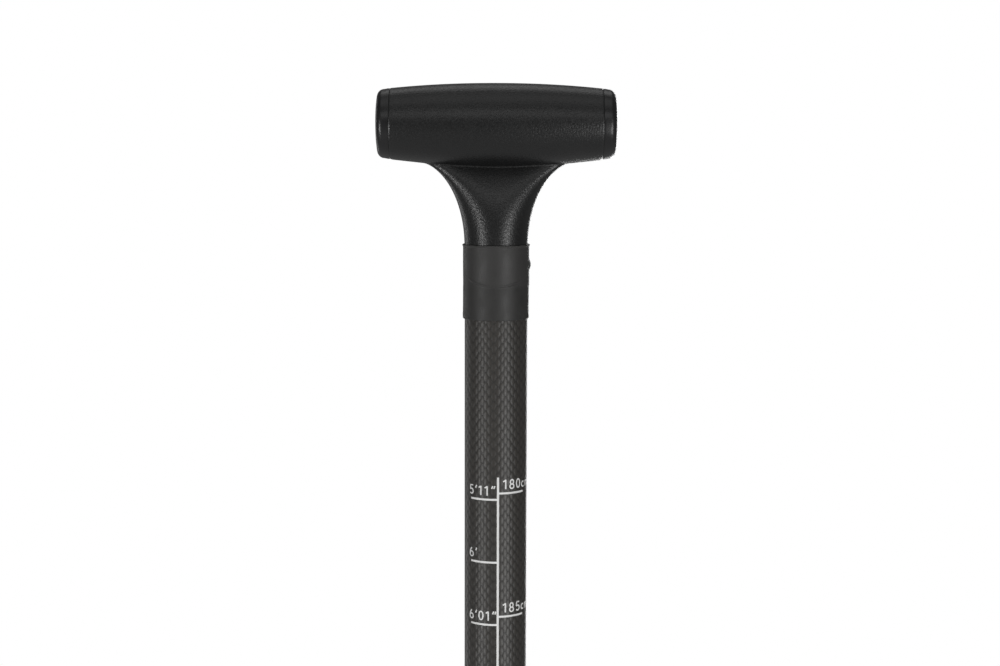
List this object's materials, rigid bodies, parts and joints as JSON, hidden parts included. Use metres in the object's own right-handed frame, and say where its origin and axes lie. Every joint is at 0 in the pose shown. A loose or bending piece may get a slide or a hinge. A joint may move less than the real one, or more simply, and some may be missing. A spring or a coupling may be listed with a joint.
{
  "type": "single blade paddle",
  "caption": "Adjustable single blade paddle: T-grip on a carbon tube that telescopes in a lever-clamped shaft, snap-button ferrule joint, teardrop blade angled forward.",
  "frame": {"origin": "on the shaft's axis, 1.0 m above the blade's tip, where a rack clip grips the middle shaft", "axes": "+Z along the shaft towards the T-grip, +X along the T-grip's barrel, -Y the side that carries the printed length scale and the power face; the blade's tip leans towards +Y"},
  "size_m": [0.2, 0.0918, 1.9],
  "materials": {
    "grip_plastic": "fine moulded grain, satin black",
    "cap_plastic": "smooth satin gloss black",
    "shrink_tube": "matte dark grey shrink film",
    "carbon": "satin clear coat over twill carbon weave",
    "blade_laminate": "satin clear coat over twill carbon weave",
    "clamp_plastic": "satin glass-filled nylon, black",
    "edge_plastic": "satin black ABS rail",
    "nylon": "turned satin nylon, dark grey",
    "rubber": "matte moulded rubber",
    "foam": "closed-cell foam, cream",
    "steel": "stainless, lightly brushed",
    "aluminium": "drawn tube, bare"
  },
  "bodies": {
    "lower_paddle": {"middle_shaft": "carbon", "clamp_collar": "clamp_plastic", "clamp_seal": "rubber", "clamp_screw": "steel", "clamp_pad": "steel", "clamp_pin": "steel", "joint_ferrule": "nylon", "ferrule_plug": "nylon", "button_spring": "steel", "lower_shaft": "carbon", "lower_foam_plug": "foam", "blade_core": "foam", "blade_face_skin": "blade_laminate", "blade_back_skin": "blade_laminate", "blade_edge_guard": "edge_plastic"},
    "guide_bush": {"guide_bush": "nylon"},
    "handle_section": {"grip_body": "grip_plastic", "grip_cap_left": "cap_plastic", "grip_cap_right": "cap_plastic", "grip_ferrule": "aluminium", "grip_rivet": "steel", "shrink_sleeve": "shrink_tube", "upper_shaft": "carbon", "upper_foam_plug": "foam", "shaft_end_plug": "nylon"},
    "clamp_lever": {"clamp_lever": "clamp_plastic"},
    "snap_button": {"snap_button": "steel"}
  },
  "joints": [
    {"name": "length_adjust", "type": "slide", "parent": "lower_paddle", "child": "guide_bush", "axis": [0, 0, 1], "range_m": [-0.1, 0.3]},
    {"name": "handle_twist", "type": "hinge", "parent": "guide_bush", "child": "handle_section", "pos_m": [0, 0, 0.238], "axis": [0, 0, 1], "continuous": true},
    {"name": "clamp_lever_swing", "type": "hinge", "parent": "lower_paddle", "child": "clamp_lever", "pos_m": [0.0146, 0.023, 0.6195], "axis": [0, 0, 1], "range_deg": [0, 165]},
    {"name": "snap_button_press", "type": "slide", "parent": "lower_paddle", "child": "snap_button", "axis": [0, 1, 0], "range_m": [0, 0.0038], "stiffness_N_per_m": 1500, "springref_m": -0.003, "deforming": ["button_spring"]}
  ]
}
